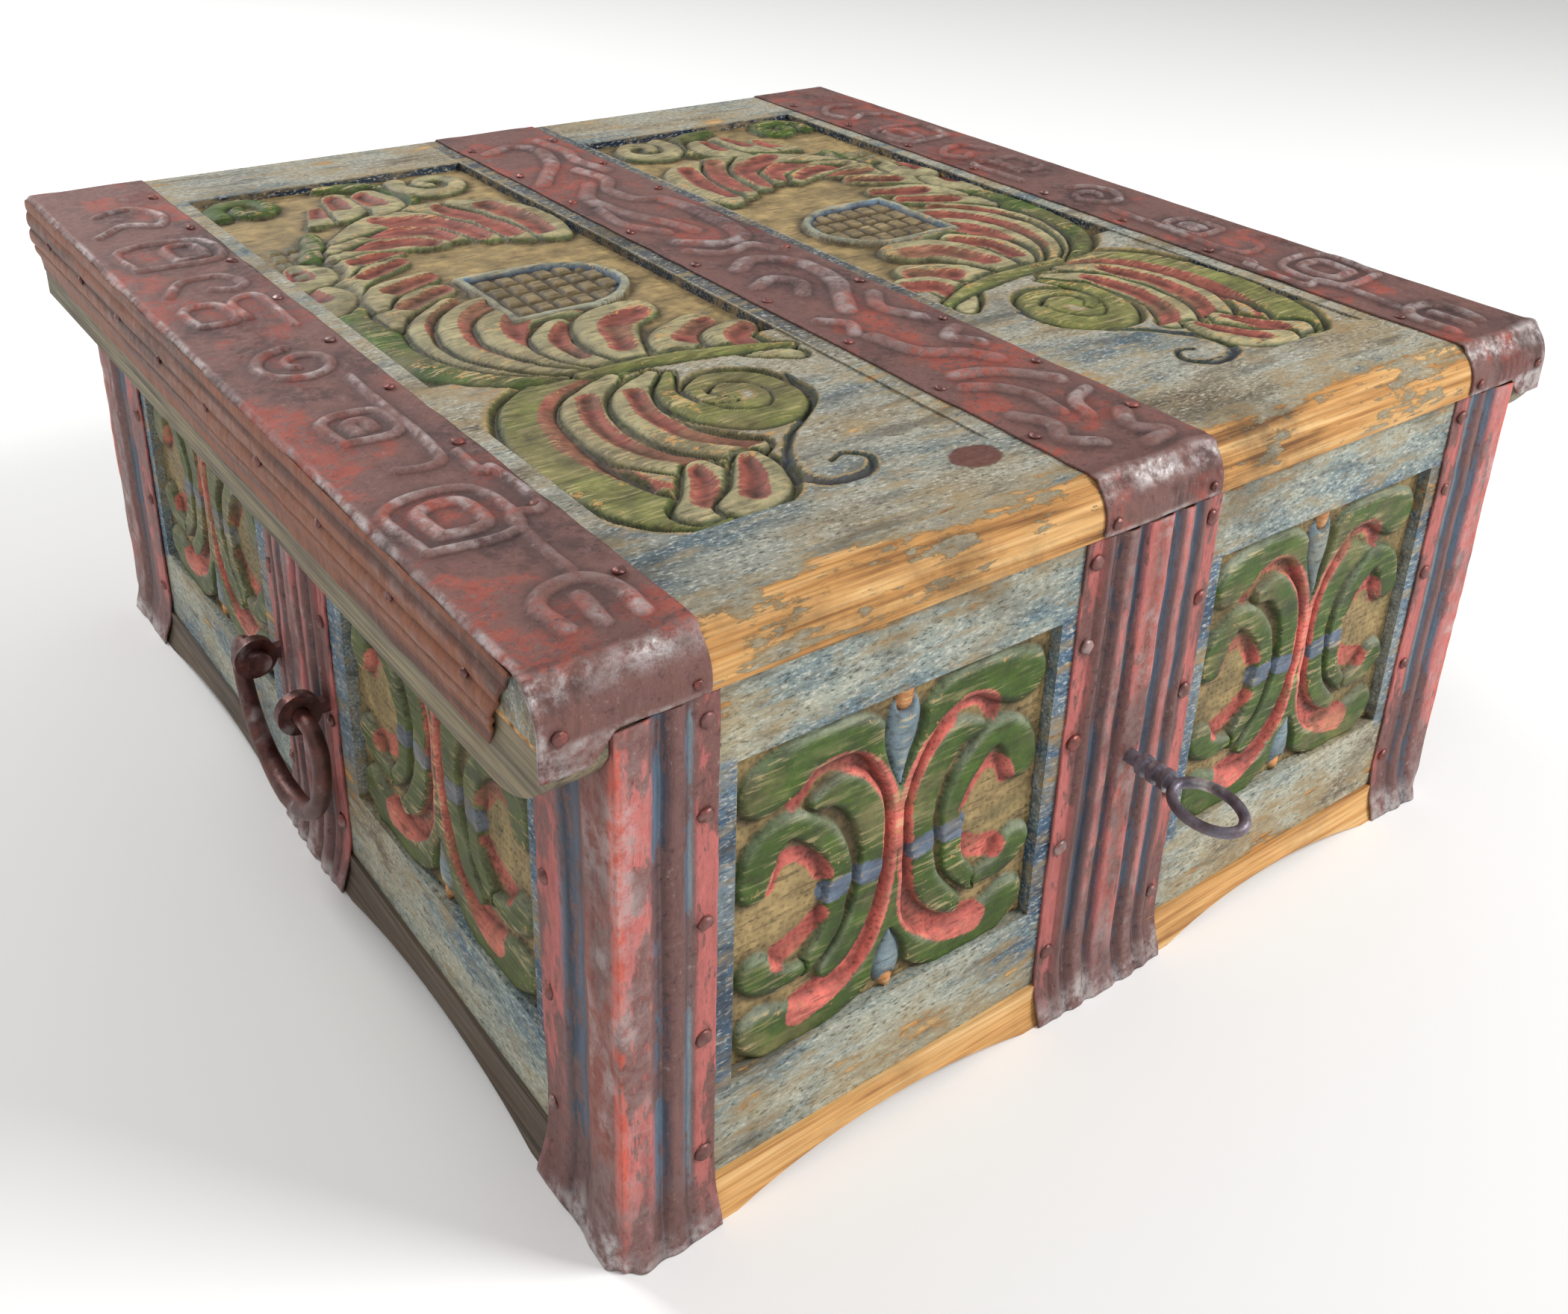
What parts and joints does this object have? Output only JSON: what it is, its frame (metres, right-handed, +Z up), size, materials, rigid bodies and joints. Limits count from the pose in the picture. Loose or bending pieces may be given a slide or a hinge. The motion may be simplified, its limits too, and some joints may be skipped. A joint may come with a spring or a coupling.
{
  "type": "travel chest",
  "caption": "Low iron-bound wooden travel chest with a hinged flat lid, carved painted panels, ribbed corner irons, swinging bail handles and a keyed lock.",
  "frame": {"origin": "on the floor, under the middle of the overall box, key included", "axes": "+Z up, front towards -Y, left side towards -X"},
  "size_m": [0.5502, 0.6414, 0.2661],
  "materials": {
    "painted_carved_wood": "worn blue-green paint on carved softwood",
    "worn_pine": "bare pine with paint remains",
    "painted_sheet_iron": "brown patinated sheet iron with red paint remains",
    "forged_iron": "dark forged iron, rubbed on the edges"
  },
  "bodies": {
    "chest": {"front_wall": "painted_carved_wood", "back_wall": "painted_carved_wood", "left_wall": "painted_carved_wood", "right_wall": "painted_carved_wood", "bottom_board": "worn_pine", "front_apron": "worn_pine", "back_apron": "worn_pine", "left_skirt": "worn_pine", "right_skirt": "worn_pine", "front_left_corner_iron": "painted_sheet_iron", "front_right_corner_iron": "painted_sheet_iron", "back_left_corner_iron": "painted_sheet_iron", "back_right_corner_iron": "painted_sheet_iron", "front_lock_strap": "painted_sheet_iron", "back_mid_strap": "painted_sheet_iron", "left_mid_strap": "painted_sheet_iron", "right_mid_strap": "painted_sheet_iron", "front_nails": "forged_iron", "back_nails": "forged_iron", "left_nails": "forged_iron", "right_nails": "forged_iron", "left_hinge_body_leaf": "forged_iron", "right_hinge_body_leaf": "forged_iron", "left_hinge_pin": "forged_iron", "right_hinge_pin": "forged_iron", "left_handle_staples": "forged_iron", "right_handle_staples": "forged_iron", "lock_plate": "forged_iron", "lock_cover": "forged_iron", "lock_nails": "forged_iron"},
    "lid": {"lid_board": "painted_carved_wood", "left_lid_carving": "painted_carved_wood", "right_lid_carving": "painted_carved_wood", "left_batten": "worn_pine", "right_batten": "worn_pine", "left_lid_band": "painted_sheet_iron", "middle_lid_band": "painted_sheet_iron", "right_lid_band": "painted_sheet_iron", "lid_nails": "forged_iron", "left_hinge_lid_leaf": "forged_iron", "right_hinge_lid_leaf": "forged_iron", "lid_staple": "forged_iron"},
    "left_handle": {"left_handle": "forged_iron"},
    "right_handle": {"right_handle": "forged_iron"},
    "key": {"key": "forged_iron"},
    "lock_bolt": {"lock_bolt": "forged_iron"}
  },
  "joints": [
    {"name": "lid_hinge", "type": "hinge", "parent": "chest", "child": "lid", "pos_m": [0, 0.31475, 0.241], "axis": [-1, 0, 0], "range_deg": [0, 105]},
    {"name": "left_handle_swing", "type": "hinge", "parent": "chest", "child": "left_handle", "pos_m": [-0.2592, 0.027, 0.102], "axis": [0, 1, 0], "range_deg": [0, 120]},
    {"name": "right_handle_swing", "type": "hinge", "parent": "chest", "child": "right_handle", "pos_m": [0.2592, 0.027, 0.102], "axis": [0, -1, 0], "range_deg": [0, 120]},
    {"name": "key_turn", "type": "hinge", "parent": "chest", "child": "key", "pos_m": [0, -0.25, 0.128], "axis": [0, 1, 0], "range_deg": [0, 90]},
    {"name": "bolt_shoot", "type": "slide", "parent": "chest", "child": "lock_bolt", "axis": [1, 0, 0], "range_m": [0, 0.02263]}
  ],
  "couplings": [
    {"joint": "key_turn", "follows": "bolt_shoot", "rad_per_m": 69.41}
  ]
}
